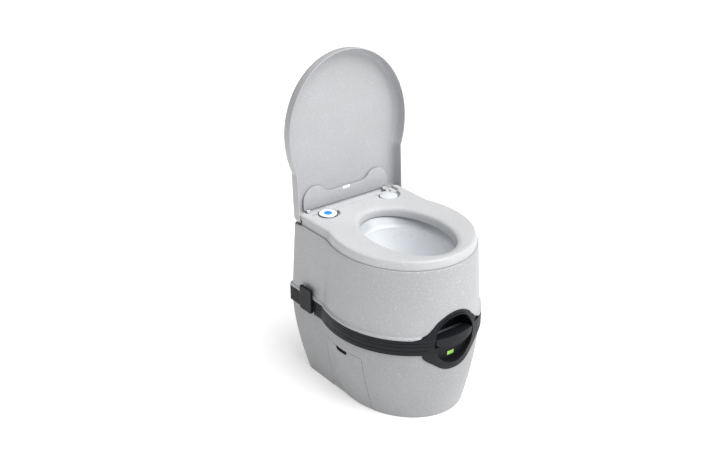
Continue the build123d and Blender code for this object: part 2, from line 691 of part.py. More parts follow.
def fill_cap():
    dome_r = 56.0
    cap = rod_along("Z", (CAP_X, CAP_Y), CAP_R, 424.6, 439.4)
    cap &= Pos(CAP_X, CAP_Y, 439.4 - dome_r) * Sphere(dome_r)
    return cap - rod_along("Z", (CAP_X, CAP_Y), 20.4, 424, 434)


def cap_seal():
    return tube_along("Z", (CAP_X, CAP_Y), 19.5, 15.0, 432.3, 434)


PUMP_X, PUMP_Y, PUMP_TOP_Z = -100.0, 165.0, 290.0
STRAINER_HEIGHT = 12.0


def pump():
    centre = (PUMP_X, PUMP_Y)
    low = FLUSH_FLOOR_Z + WALL + STRAINER_HEIGHT
    outlet = tube_along("Z", centre, HOSE_R, HOSE_BORE_R, PUMP_TOP_Z, PUMP_TOP_Z + 10)
    return rod_along("Z", centre, 19.0, low, PUMP_TOP_Z) + outlet


def pump_strainer():
    low = FLUSH_FLOOR_Z + WALL
    cup = tube_along("Z", (PUMP_X, PUMP_Y), 21.0, 17.5, low, low + STRAINER_HEIGHT)
    slots = 12
    for i in range(slots):
        slot = block_between((10, -1.2, low + 3), (30, 1.2, low + 9))
        cup -= Pos(PUMP_X, PUMP_Y, 0) * Rot(0, 0, 360 * i / slots) * slot
    return cup


def pump_hose():
    points = [(PUMP_X, PUMP_Y, PUMP_TOP_Z + 10), (PUMP_X, PUMP_Y, 385), (NOZZLE_X - 25, 158, NOZZLE_Z),
              (NOZZLE_X, 148, NOZZLE_Z), (NOZZLE_X, 124, NOZZLE_Z)]
    route = FilletPolyline(*points, radius=[25, 12, 9])
    section = Plane(origin=points[0], z_dir=(0, 0, 1)) * (Circle(HOSE_R) - Circle(HOSE_BORE_R))
    return sweep(section, path=route)


def flush_nozzle():
    return tube_along("Y", (NOZZLE_X, NOZZLE_Z), NOZZLE_R, HOSE_BORE_R, 99, 124)


BATTERY = ((8.0, 124.0, 378.0), (68.0, 174.0, 413.0))


def battery_box():
    return block_between(*BATTERY) - grown_block(BATTERY, -2)


def battery_cells():
    cells = []
    for layer in (0, 1):
        for row in (0, 1, 2):
            y = BATTERY[0][1] + 2.8 + 7.2 + row * 15.0
            z = BATTERY[0][2] + 2.4 + 7.1 + layer * 15.0
            cell = rod_along("X", (y, z), 7.0, 13, 62) + rod_along("X", (y, z), 2.5, 62, 63.2)
            cells.append(cell)
    return Compound(children=cells)


# ---------------------------------------------------------------- seat, lid and flap
SEAT_HOLE = [
    # height, half-width, half-length of the seat's opening
    (SEAT_BOTTOM_Z - 1, 93.0, 141.0),
    (434.0, 94.5, 139.5),
    (438.0, 97.0, 142.0),
    (SEAT_TOP_Z + 0.5, 102.0, 147.0),
]
SEAT_HOLE_Y = -34.0
SEAT_ARM_X = 153.0          # outer end of each hinge knuckle, clear of the lid's rounded corner
BUMPERS = ((-135.0, -70.0), (135.0, -70.0), (-120.0, 120.0), (120.0, 120.0))


def beyond_round(inward):
    """What lies outside the round on the shut lid's rear top edge, moved inward by an amount."""
    rear_y = CENTRE_Y + LID.back - LID_ROUND
    rear_z = LID_TOP_Z - LID_ROUND
    corner = block_between((-FAR, rear_y, rear_z), (FAR, rear_y + 60, rear_z + 60))
    return corner - rod_along("X", (rear_y, rear_z), LID_ROUND - inward, -FAR, FAR)


def seat_hole(by):
    return loft([oval_face(0, SEAT_HOLE_Y, z, a + by, b + by) for z, a, b in SEAT_HOLE])


def seat():
    levels = [(SEAT_BOTTOM_Z, SEAT.grown(SEAT_DRAFT)), (432.0, SEAT.grown(1.2)), (437.0, SEAT.grown(0)),
              (438.8, SEAT.grown(-1.6)), (SEAT_TOP_Z, SEAT.grown(-4.5))]
    body = plan_solid(levels, ruled=True)
    body = body - seat_hole(0) - cut_out(0, 400, 450, 300)
    hollow = plan_solid([(SEAT_BOTTOM_Z - 1, SEAT.grown(-WALL)), (SEAT_TOP_Z - WALL, SEAT.grown(-WALL - 1))])
    hollow -= seat_hole(WALL)
    hollow -= cut_out(-WALL, 400, 450, 300)
    hollow &= block_between((-FAR, -FAR, 400), (FAR, 160, 450))
    body -= hollow
    for x, y in BUMPERS:
        body += rod_along("Z", (x, y), 6.0, 420.5, SEAT_TOP_Z - WALL + 0.5)
    heel = block_between((-FAR, DECK_BACK_Y - 0.5, 400), (FAR, FAR, HINGE_Z))
    low = HINGE_Z - KNUCKLE_R - 0.3
    arm = block_between((CUT_HALF, DECK_BACK_Y - 0.5, low), (SEAT_ARM_X, HINGE_Y, HINGE_Z))
    arm += rod_along("X", (HINGE_Y, HINGE_Z), KNUCKLE_R + 0.3, CUT_HALF, SEAT_ARM_X)
    body = body - heel - beyond_round(LID_WALL + 0.5)
    for part in both_sides(arm):
        body += part
    for part in both_sides(rod_along("X", (HINGE_Y, HINGE_Z), PIN_R + RUNNING, 130, 170)):
        body -= part
    return body


def seat_bumpers():
    return Compound(children=[rod_along("Z", (x, y), 6.0, TANK_TOP_Z + 0.3, 420.5) for x, y in BUMPERS])


def lid_form(by):
    """The lid's form when shut, grown by an amount, with its top edge rounded."""
    top = LID_TOP_Z + by
    low = LID_RIM_Z if by == 0 else LID_RIM_Z - 1
    levels = [(low, LID.grown(by)), (top - 13, LID.grown(by - 0.8)), (top - 6, LID.grown(by - 2.2)),
              (top - 2, LID.grown(by - 5)), (top, LID.grown(by - 10))]
    form = plan_solid(levels, ruled=True)
    return form - beyond_round(-by)


def opened(shape):
    return shape.rotate(Axis((0, HINGE_Y, HINGE_Z), (-1, 0, 0)), LID_OPEN)


def lid():
    shell = lid_form(0) - lid_form(-LID_WALL)
    for boss in both_sides(rod_along("X", (HINGE_Y, HINGE_Z), KNUCKLE_R, 159.2, 163.4)):
        shell += boss
    for bore in both_sides(rod_along("X", (HINGE_Y, HINGE_Z), PIN_R + RUNNING, 150, 163.7)):
        shell -= bore
    return opened(shell)


FLAP_LOW_Z, FLAP_THICK = 440.4, 2.5


def service_flap():
    """The cover over the controls, in its shut place and then swung open with the lid."""
    half, rear_y, front_y, lobe_x, lobe_y, lobe_r = 134.0, 187.0, 152.0, 97.0, 165.5, 37.0
    tab_half, tab_length = 12.0, 11.0
    sketch = Pos(0, (rear_y + front_y) / 2) * Rectangle(2 * lobe_x, rear_y - front_y)
    sketch += Pos(0, (rear_y + lobe_y) / 2) * Rectangle(2 * half, rear_y - lobe_y)
    for side in (-1, 1):
        sketch += Pos(side * lobe_x, lobe_y) * Circle(lobe_r)
    sketch &= Pos(0, rear_y - FAR / 2) * Rectangle(FAR, FAR)
    dips = [v for v in sketch.vertices() if abs(v.Y - front_y) < 0.01]
    sketch = fillet(dips, 28.0)
    plate = extrude(Pos(0, 0, FLAP_LOW_Z) * sketch, FLAP_THICK)
    tab_y = front_y - 1.5
    plate += block_between((-tab_half, tab_y, FLAP_LOW_Z - 0.5),
                           (tab_half, tab_y + tab_length, FLAP_LOW_Z + FLAP_THICK))
    for side in (-1, 1):
        start, end = sorted((side * 116.5, side * 126.5))
        top = FLAP_LOW_Z + FLAP_THICK
        profile = [(183, top), (193, top), (201.5, 432), (HINGE_Y + KNUCKLE_R, HINGE_Z),
                   (HINGE_Y - KNUCKLE_R, HINGE_Z), (190.5, 436), (186, FLAP_LOW_Z), (183, FLAP_LOW_Z)]
        plate += side_prism(profile, start, end)
        plate += rod_along("X", (HINGE_Y, HINGE_Z), KNUCKLE_R, start, end)
        plate -= rod_along("X", (HINGE_Y, HINGE_Z), PIN_R + RUNNING, start - 1, end + 1)
    return opened(plate)


PARTS = {
    "waste_tank": lambda: waste_tank() + door_hinge_lugs(),
    "lower_trim": lower_trim,
    "level_window": level_window,
    "rod_gland": rod_gland,
    "valve_body": valve_body,
    "blade_seal": blade_seal,
    "lip_seal": lip_seal,
    "valve_blade": valve_blade,
    "valve_rod": valve_rod,
    "valve_handle": valve_handle,
    "spout_neck": spout_neck,
    "spout_seal": spout_seal,
    "spout_elbow": spout_elbow,
    "spout_cap": spout_cap,
    "cap_gasket": cap_gasket,
    "vent_body": vent_body,
    "vent_button": vent_button,
    "vent_spring": vent_spring,
    "roll_spindle": roll_spindle,
    "door_pins": door_pins,
    "roll_door": roll_door,
    "latch_left": lambda: latch(-1),
    "latch_right": lambda: latch(1),
    "latch_pins": latch_pins,
    "float_bracket": float_bracket,
    "level_indicator": level_indicator,
    "float_arm": float_arm,
    "float_ball": float_ball,
    "flush_tank": flush_tank,
    "upper_trim": upper_trim,
    "bowl": bowl,
    "outlet_gasket": outlet_gasket,
    "control_deck": control_deck,
    "hinge_pins": hinge_pins,
    "button_bezel": button_bezel,
    "flush_button": flush_button,
    "button_dot": button_dot,
    "button_spring": button_spring,
    "fill_neck": fill_neck,
    "fill_cap": fill_cap,
    "fill_cap_seal": cap_seal,
    "pump": pump,
    "pump_strainer": pump_strainer,
    "pump_hose": pump_hose,
    "flush_nozzle": flush_nozzle,
    "battery_box": battery_box,
    "battery_cells": battery_cells,
    "seat": seat,
    "seat_bumpers": seat_bumpers,
    "lid": lid,
    "service_flap": service_flap,
}

os.makedirs("parts", exist_ok=True)
for name, make in PARTS.items():
    export_step(make(), f"parts/{name}.step")
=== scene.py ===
import json
from math import asin, atan2, cos, hypot, pi, radians, sin, sqrt

import bmesh
import bpy
from mathutils import Matrix, Vector
from mathutils.geometry import delaunay_2d_cdt


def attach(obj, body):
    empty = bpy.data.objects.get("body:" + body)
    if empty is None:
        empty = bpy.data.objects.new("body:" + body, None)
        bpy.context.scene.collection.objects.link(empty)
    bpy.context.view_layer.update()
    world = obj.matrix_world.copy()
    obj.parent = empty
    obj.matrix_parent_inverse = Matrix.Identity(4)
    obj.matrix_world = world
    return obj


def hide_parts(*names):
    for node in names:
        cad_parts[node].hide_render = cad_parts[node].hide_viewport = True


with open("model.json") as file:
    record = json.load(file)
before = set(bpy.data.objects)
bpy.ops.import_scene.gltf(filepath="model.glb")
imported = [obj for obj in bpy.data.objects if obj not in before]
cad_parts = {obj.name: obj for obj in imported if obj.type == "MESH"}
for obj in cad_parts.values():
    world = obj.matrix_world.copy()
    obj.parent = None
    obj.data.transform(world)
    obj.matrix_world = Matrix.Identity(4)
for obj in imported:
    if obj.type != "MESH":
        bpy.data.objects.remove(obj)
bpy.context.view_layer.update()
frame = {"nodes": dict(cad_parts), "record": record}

# The looks of a portable camp toilet. Metres. Front is -Y, up is +Z, and the floor is at z = 0.
MM = 0.001

# ---------------------------------------------------------------- sizes, as in the CAD model
CENTRE_Y = -10.5 * MM
REAR_LAG = 7 * MM
WASTE_TOP_Z = 200 * MM
RING_TOP_Z = 240 * MM
SPLIT_Z = 223 * MM
FLARE_Z = 251 * MM
TANK_TOP_Z = 416 * MM
TAPER_POWER = 1.6
RING_THICK = 7.5 * MM
HINGE_Y, HINGE_Z = 196.5 * MM, 427.5 * MM
KNUCKLE_R = 6.5 * MM
LID_RIM_Z, LID_TOP_Z = 417.5 * MM, 450 * MM
LID_WALL = 2.6 * MM
LID_OPEN = radians(93)
LID_ROUND = 25 * MM
CUT_HALF, CUT_FRONT_Y = 140 * MM, 168 * MM
LOBE_X, LOBE_Y, LOBE_R = 97 * MM, 165 * MM, 34 * MM
DECK_TOP_Z, DECK_BACK_Y = 433.5 * MM, 183 * MM
BUTTON = (-91 * MM, 167 * MM)
CAP = (100 * MM, 162 * MM)
NOZZLE = (-20 * MM, 406 * MM)
EYE_Z = 224.5 * MM
EYE_HALF_WIDTH, EYE_HALF_HEIGHT = 60 * MM, 63.5 * MM

# ---------------------------------------------------------------- sizes for the looks alone
SHARP_ANGLE = radians(38)
KNUCKLE_EDGE = 0.6 * MM
PIN_R = 3 * MM
SEAT_HOLE_Y = -33 * MM
AHEAD_Y = -260 * MM
DOOR_EDGE_X, DOOR_FOOT_Z = -135 * MM, 21 * MM
BOWL_SHADE_LOW_Z, BOWL_SHADE_HIGH_Z = 388 * MM, 400 * MM


class Plan:
    """An outline seen from above: an oval with a square-cornered block behind it."""

    def __init__(self, half, front, block, back, corner=14 * MM, neck=18 * MM):
        self.half, self.front, self.block, self.back = half, front, block, back
        self.corner, self.neck = corner, neck

    def grown(self, by):
        corner, neck = max(self.corner + by, 2 * MM), max(self.neck - by, 4 * MM)
        return Plan(self.half + by, self.front + by, self.block + by, self.back + by, corner, neck)

    def mixed(self, other, share):
        names = ("half", "front", "block", "back", "corner", "neck")
        return Plan(*[getattr(self, n) * (1 - share) + getattr(other, n) * share for n in names])

    def right_side(self):
        """Points from the oval's widest place on the right to the start of the rear line."""
        rear = self.back - REAR_LAG
        low, high = 0.0, pi / 2
        for _ in range(50):
            angle = (low + high) / 2
            nx, ny = cos(angle) / self.half, sin(angle) / rear
            nx, ny = nx / hypot(nx, ny), ny / hypot(nx, ny)
            if self.half * cos(angle) + self.neck * nx > self.block + self.neck:
                low = angle
            else:
                high = angle
        hollow_x = self.half * cos(angle) + nx * self.neck
        hollow_y = rear * sin(angle) + ny * self.neck
        swing = atan2(ny, nx)
        corner_x, corner_y = self.block - self.corner, self.back - self.corner
        points = [(self.half * cos(angle * t), rear * sin(angle * t)) for t in steps(0, 1, 24)]
        points += [(hollow_x - self.neck * cos(swing * t), hollow_y - self.neck * sin(swing * t))
                   for t in steps(1, 0, 10)[1:]]
        points += [(self.block, hollow_y + (corner_y - hollow_y) * t) for t in steps(0, 1, 16)[1:]]
        points += [(corner_x + self.corner * cos(pi / 2 * t), corner_y + self.corner * sin(pi / 2 * t))
                   for t in steps(0, 1, 12)[1:]]
        return [(x, y + CENTRE_Y) for x, y in points]

    def front_side(self):
        """Points round the front, from left to right, without the two ends."""
        angles = steps(-pi, 0, 96)[1:-1]
        return [(self.half * cos(a), self.front * sin(a) + CENTRE_Y) for a in angles]

    def points(self):
        right = self.right_side()
        left = [(-x, y) for x, y in reversed(right)]
        end_x, back_y = right[-1]
        rear = [(end_x - 2 * end_x * t, back_y) for t in steps(0, 1, 36)[1:-1]]
        return self.front_side() + right + rear + left

    def half_width_at(self, y):
        """Half the outline's width at a place along Y, on the rear half or the front half."""
        if y < CENTRE_Y:
            return self.half * sqrt(max(0.0, 1 - ((y - CENTRE_Y) / self.front) ** 2))
        side = self.right_side()
        for (xa, ya), (xb, yb) in zip(side, side[1:]):
            if ya <= y <= yb and yb > ya:
                return xa + (xb - xa) * (y - ya) / (yb - ya)
        return side[-1][0]


def steps(start, end, count):
    return [start + (end - start) * i / (count - 1) for i in range(count)]


RING = Plan(194 * MM, 214.5 * MM, 178.5 * MM, 235.5 * MM)
WASTE_TOP = Plan(189.5 * MM, 210 * MM, 174 * MM, 231 * MM)
WASTE_BASE = Plan(149.5 * MM, 184.5 * MM, 148 * MM, 195.5 * MM)
FLUSH_BASE = Plan(188 * MM, 208.5 * MM, 174 * MM, 229.5 * MM)
FLUSH_TOP = Plan(179 * MM, 199.5 * MM, 168 * MM, 222.5 * MM)
SEAT = Plan(172.2 * MM, 192.8 * MM, 156.7 * MM, 213.8 * MM)
LID = Plan(180.6 * MM, 199 * MM, 164.8 * MM, 217.5 * MM)


def waste_plan(z):
    share = max(0.0, (WASTE_TOP_Z - z) / WASTE_TOP_Z) ** TAPER_POWER
    return WASTE_TOP.mixed(WASTE_BASE, share)


def flush_plan(z):
    return FLUSH_BASE.mixed(FLUSH_TOP, (z - FLARE_Z) / (TANK_TOP_Z - FLARE_Z))


# ---------------------------------------------------------------- mesh tools
def level(points, z):
    return [(x, y, z) for x, y in points]


def in_mm(pairs):
    return [(a * MM, b * MM) for a, b in pairs]


def oval(x, y, half_x, half_y, count=96):
    return [(x + half_x * cos(a), y + half_y * sin(a)) for a in steps(0, 2 * pi, count + 1)[:-1]]


def below(points, limit_y):
    return [(x, min(y, limit_y)) for x, y in points]


def shrunk(ring, shares):
    """Copies of a ring drawn in towards its middle."""
    middle = sum((Vector(p) for p in ring), Vector()) / len(ring)
    return [[tuple(middle.lerp(Vector(p), share)) for p in ring] for share in shares]


def skin(name, strips, caps=(), body=None, stands_for=(), slot=None, material=None):
    """A closed mesh: each strip is a run of rings joined by quads, and each cap fills the rings
    that it lists as (strip, ring) pairs."""
    bm = bmesh.new()
    made = []
    for rings in strips:
        rows = [[bm.verts.new(p) for p in ring] for ring in rings]
        for row, following in zip(rows, rows[1:]):
            for i, vert in enumerate(row):
                j = (i + 1) % len(row)
                bm.faces.new((vert, row[j], following[j], following[i]))
        made.append(rows)
    for group in caps:
        rows = [made[strip][ring] for strip, ring in group]
        if len(rows) == 1:
            bm.faces.new(rows[0])
        else:
            fill_level(bm, rows)
    tidy(bm)
    return piece(name, bm, body, stands_for, material)


def fill_level(bm, rows):
    """Fills a level outline, leaving out the holes that the rows after the first one draw."""
    verts = [vert for row in rows for vert in row]
    edges, start = [], 0
    for row in rows:
        edges += [(start + i, start + (i + 1) % len(row)) for i in range(len(row))]
        start += len(row)
    flat = [Vector((vert.co.x, vert.co.y)) for vert in verts]
    points, _, faces, origin, _, _ = delaunay_2d_cdt(flat, edges, [], 0, 0.001 * MM)
    loops = [[(vert.co.x, vert.co.y) for vert in row] for row in rows]
    for face in faces:
        middle = sum((points[i] for i in face), Vector((0, 0))) / len(face)
        inside = [within(middle, loop) for loop in loops]
        corners = [verts[origin[i][0]] for i in face if origin[i]]
        if inside[0] and not any(inside[1:]) and len(corners) == len(face):
            bm.faces.new(corners)


def within(point, loop):
    """Whether a point is inside a closed outline."""
    inside = False
    for (xa, ya), (xb, yb) in zip(loop, loop[1:] + loop[:1]):
        if (ya > point.y) != (yb > point.y) and point.x < xa + (xb - xa) * (point.y - ya) / (yb - ya):
            inside = not inside
    return inside


def tidy(bm):
    bmesh.ops.remove_doubles(bm, verts=bm.verts, dist=0.004 * MM)
    bmesh.ops.dissolve_degenerate(bm, dist=0.002 * MM, edges=bm.edges)
    bmesh.ops.recalc_face_normals(bm, faces=bm.faces)


def piece(name, bm, body, stands_for, material):
    mesh = bpy.data.meshes.new(name)
    bm.to_mesh(mesh)
    bm.free()
    obj = bpy.data.objects.new(name, mesh)
    bpy.context.scene.collection.objects.link(obj)
    finish_shading(obj)
    if material:
        mesh.materials.append(material)
    if body:
        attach(obj, body)
    if stands_for:
        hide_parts(*stands_for)
    return obj


def finish_shading(obj):
    mesh = obj.data
    mesh.polygons.foreach_set("use_smooth", [True] * len(mesh.polygons))
    mesh.set_sharp_from_angle(angle=SHARP_ANGLE)


def joined(target, *others):
    """Adds other pieces' meshes to a piece, as more shells of the same piece."""
    bm = bmesh.new()
    bm.from_mesh(target.data)
    for other in others:
        bm.from_mesh(other.data)
        bpy.data.objects.remove(other)
    bm.to_mesh(target.data)
    bm.free()
    return target


def carved(obj, *cutters):
    """Takes the cutters' shapes out of a piece."""
    for cutter in cutters:
        cut = obj.modifiers.new("cut", "BOOLEAN")
        cut.operation, cut.solver, cut.object = "DIFFERENCE", "EXACT", cutter
        graph = bpy.context.evaluated_depsgraph_get()
        result = bpy.data.meshes.new_from_object(obj.evaluated_get(graph))
        obj.modifiers.clear()
        obj.data = result
        bpy.data.objects.remove(cutter)
    return obj


def block(name, low, high, edge=1.0 * MM):
    """A box with rounded upright and level edges."""
    inner = edge * (1 - cos(pi / 4))
    levels = ((low[2], edge), (low[2] + inner, inner), (low[2] + edge, 0),
              (high[2] - edge, 0), (high[2] - inner, inner), (high[2], edge))
    rings = []
    for z, inset in levels:
        x0, y0, x1, y1 = low[0] + inset, low[1] + inset, high[0] - inset, high[1] - inset
        rings.append(level(rounded_box(x0, y0, x1, y1, 2 * edge - inset), z))
    return skin(name, [rings], [[(0, 0)], [(0, -1)]])


def rounded_box(x0, y0, x1, y1, radius, count=6):
    corners = ((x1 - radius, y0 + radius, -90), (x1 - radius, y1 - radius, 0),
               (x0 + radius, y1 - radius, 90), (x0 + radius, y0 + radius, 180))
    return [(cx + radius * cos(radians(a)), cy + radius * sin(radians(a)))
            for cx, cy, start in corners for a in steps(start, start + 90, count)]


def turned(name, profile, place, axis="Z", count=72, **made):
    """A turned shape: a profile of (radius, height) points spun about Z or X through a place."""
    rings = []
    for radius, height in profile:
        ring = []
        for a in steps(0, 2 * pi, count + 1)[:-1]:
            u, v = radius * cos(a), radius * sin(a)
            if axis == "X":
                ring.append((height, place[0] + u, place[1] + v))
            else:
                ring.append((place[0] + u, place[1] + v, height))
        rings.append(ring)
    return skin(name, [rings], [[(0, 0)], [(0, -1)]], **made)


def hinge_knuckle(start, end, radius=KNUCKLE_R):
    """A barrel on the hinge line between two places along X, with softened rims."""
    profile = [(PIN_R, start), (radius - KNUCKLE_EDGE, start), (radius, start + KNUCKLE_EDGE),
               (radius, end - KNUCKLE_EDGE), (radius - KNUCKLE_EDGE, end), (PIN_R, end)]
    return turned("knuckle", profile, (HINGE_Y, HINGE_Z), "X")


def swung_open(obj):
    """Turns a piece from its shut place to its place on the open lid."""
    pin = Matrix.Translation((0, HINGE_Y, HINGE_Z))
    obj.data.transform(pin @ Matrix.Rotation(-LID_OPEN, 4, "X") @ pin.inverted())
    return obj


# ---------------------------------------------------------------- materials
def new_material(name):
    material = bpy.data.materials.new(name)
    material.use_nodes = True
    nodes, links = material.node_tree.nodes, material.node_tree.links
    shader = nodes["Principled BSDF"]
    place = nodes.new("ShaderNodeTexCoord").outputs["Object"]
    return material, nodes, links, shader, place


def noise(nodes, links, place, scale, detail=2.0, roughness=0.5):
    node = nodes.new("ShaderNodeTexNoise")
    node.inputs["Scale"].default_value = scale
    node.inputs["Detail"].default_value = detail
    node.inputs["Roughness"].default_value = roughness
    links.new(place, node.inputs["Vector"])
    return node.outputs["Fac"]


def ramp(nodes, links, value, stops):
    """Colours along a value, as (place, colour) stops."""
    node = nodes.new("ShaderNodeValToRGB")
    elements = node.color_ramp.elements
    elements[0].position, elements[0].color = stops[0][0], (*stops[0][1], 1)
    elements[1].position, elements[1].color = stops[-1][0], (*stops[-1][1], 1)
    for position, colour in stops[1:-1]:
        elements.new(position).color = (*colour, 1)
    links.new(value, node.inputs["Fac"])
    return node.outputs["Color"]


def mixed_colour(nodes, links, share, first, second):
    """The first colour, a socket, turning into the second, a plain colour, as the share rises."""
    node = nodes.new("ShaderNodeMix")
    node.data_type = "RGBA"
    share_input, first_input, second_input, colour_output = 0, 6, 7, 2
    links.new(share, node.inputs[share_input])
    links.new(first, node.inputs[first_input])
    node.inputs[second_input].default_value = (*second, 1)
    return node.outputs[colour_output]


def to_range(nodes, links, value, low, high, from_low=0.3, from_high=0.7):
    node = nodes.new("ShaderNodeMapRange")
    limits = {"From Min": from_low, "From Max": from_high, "To Min": low, "To Max": high}
    for name, number in limits.items():
        node.inputs[name].default_value = number
    links.new(value, node.inputs["Value"])
    return node.outputs["Result"]


def bumped(nodes, links, shader, heights, distance):
    """Bumps from (height, strength) pairs, the last one nearest the surface."""
    normal = None
    for height, strength in heights:
        bump = nodes.new("ShaderNodeBump")
        bump.inputs["Strength"].default_value = strength
        bump.inputs["Distance"].default_value = distance
        links.new(height, bump.inputs["Height"])
        if normal:
            links.new(normal, bump.inputs["Normal"])
        normal = bump.outputs["Normal"]
    links.new(normal, shader.inputs["Normal"])


def plastic(name, base, fleck_dark, fleck_light, roughness, speckle=1.0, grain=0.12, coat=0.0, gloss=0.5):
    """Moulded plastic: a slow change of tone, dark and light flecks, and a fine moulded grain."""
    material, nodes, links, shader, place = new_material(name)
    slow = noise(nodes, links, place, 9.0, 3.0)
    low = tuple(c * 0.965 for c in base)
    high = tuple(min(1.0, c * 1.03) for c in base)
    colour = ramp(nodes, links, slow, [(0.3, low), (0.7, high)])
    dark = noise(nodes, links, place, 420.0, 2.0, 0.6)
    dark_share = to_range(nodes, links, dark, 0.0, 0.55 * speckle, 0.60, 0.70)
    colour = mixed_colour(nodes, links, dark_share, colour, fleck_dark)
    light = noise(nodes, links, place, 360.0, 1.5, 0.5)
    light_share = to_range(nodes, links, light, 0.0, 0.5 * speckle, 0.62, 0.72)
    colour = mixed_colour(nodes, links, light_share, colour, fleck_light)
    links.new(colour, shader.inputs["Base Color"])
    wear = noise(nodes, links, place, 38.0, 4.0, 0.6)
    links.new(to_range(nodes, links, wear, roughness - 0.05, roughness + 0.07), shader.inputs["Roughness"])
    fine = noise(nodes, links, place, 1500.0, 2.0)
    broad = noise(nodes, links, place, 260.0, 2.0)
    bumped(nodes, links, shader, [(broad, grain * 0.6), (fine, grain)], 0.15 * MM)
    shader.inputs["IOR"].default_value = 1.49
    shader.inputs["Specular IOR Level"].default_value = gloss
    if coat:
        shader.inputs["Coat Weight"].default_value = coat
        shader.inputs["Coat Roughness"].default_value = 0.18
    return material


def metal(name, base, roughness, scratches):
    material, nodes, links, shader, place = new_material(name)
    stretch = nodes.new("ShaderNodeMapping")
    stretch.inputs["Scale"].default_value = (1, 1, 40) if scratches else (1, 1, 1)
    links.new(place, stretch.inputs["Vector"])
    streaks = noise(nodes, links, stretch.outputs["Vector"], 120.0, 4.0, 0.7)
    low = tuple(c * 0.88 for c in base)
    links.new(ramp(nodes, links, streaks, [(0.3, low), (0.7, base)]), shader.inputs["Base Color"])
    links.new(to_range(nodes, links, streaks, roughness * 0.7, roughness * 1.4), shader.inputs["Roughness"])
    bumped(nodes, links, shader, [(streaks, 0.05)], 0.05 * MM)
    shader.inputs["Metallic"].default_value = 1.0
    return material


def rubber_material():
    material, nodes, links, shader, place = new_material("black_rubber")
    dust = noise(nodes, links, place, 60.0, 5.0, 0.65)
    colour = ramp(nodes, links, dust, [(0.35, (0.018, 0.018, 0.02)), (0.75, (0.05, 0.05, 0.052))])
    links.new(colour, shader.inputs["Base Color"])
    links.new(to_range(nodes, links, dust, 0.55, 0.8), shader.inputs["Roughness"])
    grain = noise(nodes, links, place, 900.0, 3.0)
    bumped(nodes, links, shader, [(grain, 0.3)], 0.1 * MM)
    return material


def window_material():
    material, nodes, links, shader, place = new_material("green_window")
    cloud = noise(nodes, links, place, 120.0, 2.0)
    colour = ramp(nodes, links, cloud, [(0.3, (0.22, 0.62, 0.05)), (0.7, (0.42, 0.85, 0.10))])
    links.new(colour, shader.inputs["Base Color"])
    links.new(to_range(nodes, links, cloud, 0.08, 0.2), shader.inputs["Roughness"])
    bumped(nodes, links, shader, [(noise(nodes, links, place, 700.0), 0.04)], 0.05 * MM)
    shader.inputs["Coat Weight"].default_value = 0.6
    return material


SHELL = plastic("speckled_shell", (0.405, 0.411, 0.424), (0.22, 0.225, 0.235), (0.78, 0.79, 0.80),
                roughness=0.42)
SEAT_SHELL = plastic("seat_plastic", (0.52, 0.525, 0.535), (0.27, 0.275, 0.285), (0.80, 0.81, 0.82),
                     roughness=0.38, speckle=0.8)
LID_SHELL = plastic("lid_plastic", (0.45, 0.457, 0.47), (0.24, 0.245, 0.255), (0.78, 0.79, 0.80),
                    roughness=0.40, speckle=0.8)
# Near-black plastic for painted shade: the edge round the side door and the plate behind its notch.
PAINTED_SHADE = plastic("seam_shadow", (0.02, 0.02, 0.022), (0.01, 0.01, 0.011), (0.03, 0.03, 0.032),
               roughness=0.7, speckle=0.3, grain=0.1, gloss=0.1)
TAB_PLASTIC = plastic("white_tab", (0.86, 0.87, 0.88), (0.75, 0.76, 0.77), (0.93, 0.93, 0.94),
                      roughness=0.3, speckle=0.3, grain=0.04)
# A darker copy of the speckled shell plastic: painted shade for the lower tank, which leans away from the
# light.
SHADED_LOWER_SHELL = plastic("speckled_shell_painted_shade", (0.325, 0.33, 0.338), (0.16, 0.165, 0.172),
                      (0.60, 0.61, 0.62), roughness=0.46)
LOWER_NODES = ("waste_tank", "roll_door")
MATERIALS = {
    "shell": SHELL,
    "bowl": plastic("bowl_plastic", (0.72, 0.74, 0.765), (0.62, 0.64, 0.67), (0.80, 0.82, 0.84),
                    roughness=0.3, speckle=0.4, grain=0.05, coat=0.15),
    "trim": plastic("dark_trim", (0.0085, 0.0100, 0.0125), (0.004, 0.0048, 0.006), (0.024, 0.027, 0.033),
                    roughness=0.5, speckle=0.5, grain=0.16, gloss=0.22),
    "inner": plastic("inner_plastic", (0.26, 0.27, 0.28), (0.16, 0.17, 0.18), (0.36, 0.37, 0.38),
                     roughness=0.5, speckle=0.5),
    "rubber": rubber_material(),
    "steel": metal("drawn_steel", (0.60, 0.61, 0.63), 0.28, True),
    "button": plastic("button_plastic", (0.82, 0.84, 0.86), (0.70, 0.72, 0.74), (0.92, 0.93, 0.94),
                      roughness=0.2, speckle=0.3, grain=0.03, coat=0.6),
    "dot": plastic("blue_insert", (0.0, 0.24, 0.68), (0.0, 0.17, 0.5), (0.02, 0.33, 0.8),
                   roughness=0.34, speckle=0.4, grain=0.05, coat=0.1, gloss=0.2),
    "bezel": metal("chromed_ring", (0.23, 0.24, 0.255), 0.16, False),
    "window": window_material(),
    "indicator": plastic("green_indicator", (0.2, 0.62, 0.06), (0.1, 0.4, 0.03), (0.35, 0.8, 0.15),
                         roughness=0.4, speckle=0.4),
    "cap": plastic("cap_plastic", (0.60, 0.62, 0.64), (0.42, 0.43, 0.45), (0.88, 0.89, 0.90),
                   roughness=0.36, speckle=0.7),
}

for subpart in frame["record"]["subparts"]:
    node = frame["nodes"][subpart["node"]]
    finish = MATERIALS[subpart["material_slot"]]
    # The lower tank and its door take the darker copy of the shell plastic, as painted shade.
    if subpart["node"] in LOWER_NODES:
        finish = SHADED_LOWER_SHELL
    if not node.material_slots:
        node.data.materials.append(finish)
    for place_for in node.material_slots:
        place_for.material = finish


def refinished(mesh, material, wanted):
    """Gives the faces that a test picks another material."""
    mesh.materials.append(material)
    for face in mesh.polygons:
        if wanted(face.center, face.normal):
            face.material_index = len(mesh.materials) - 1


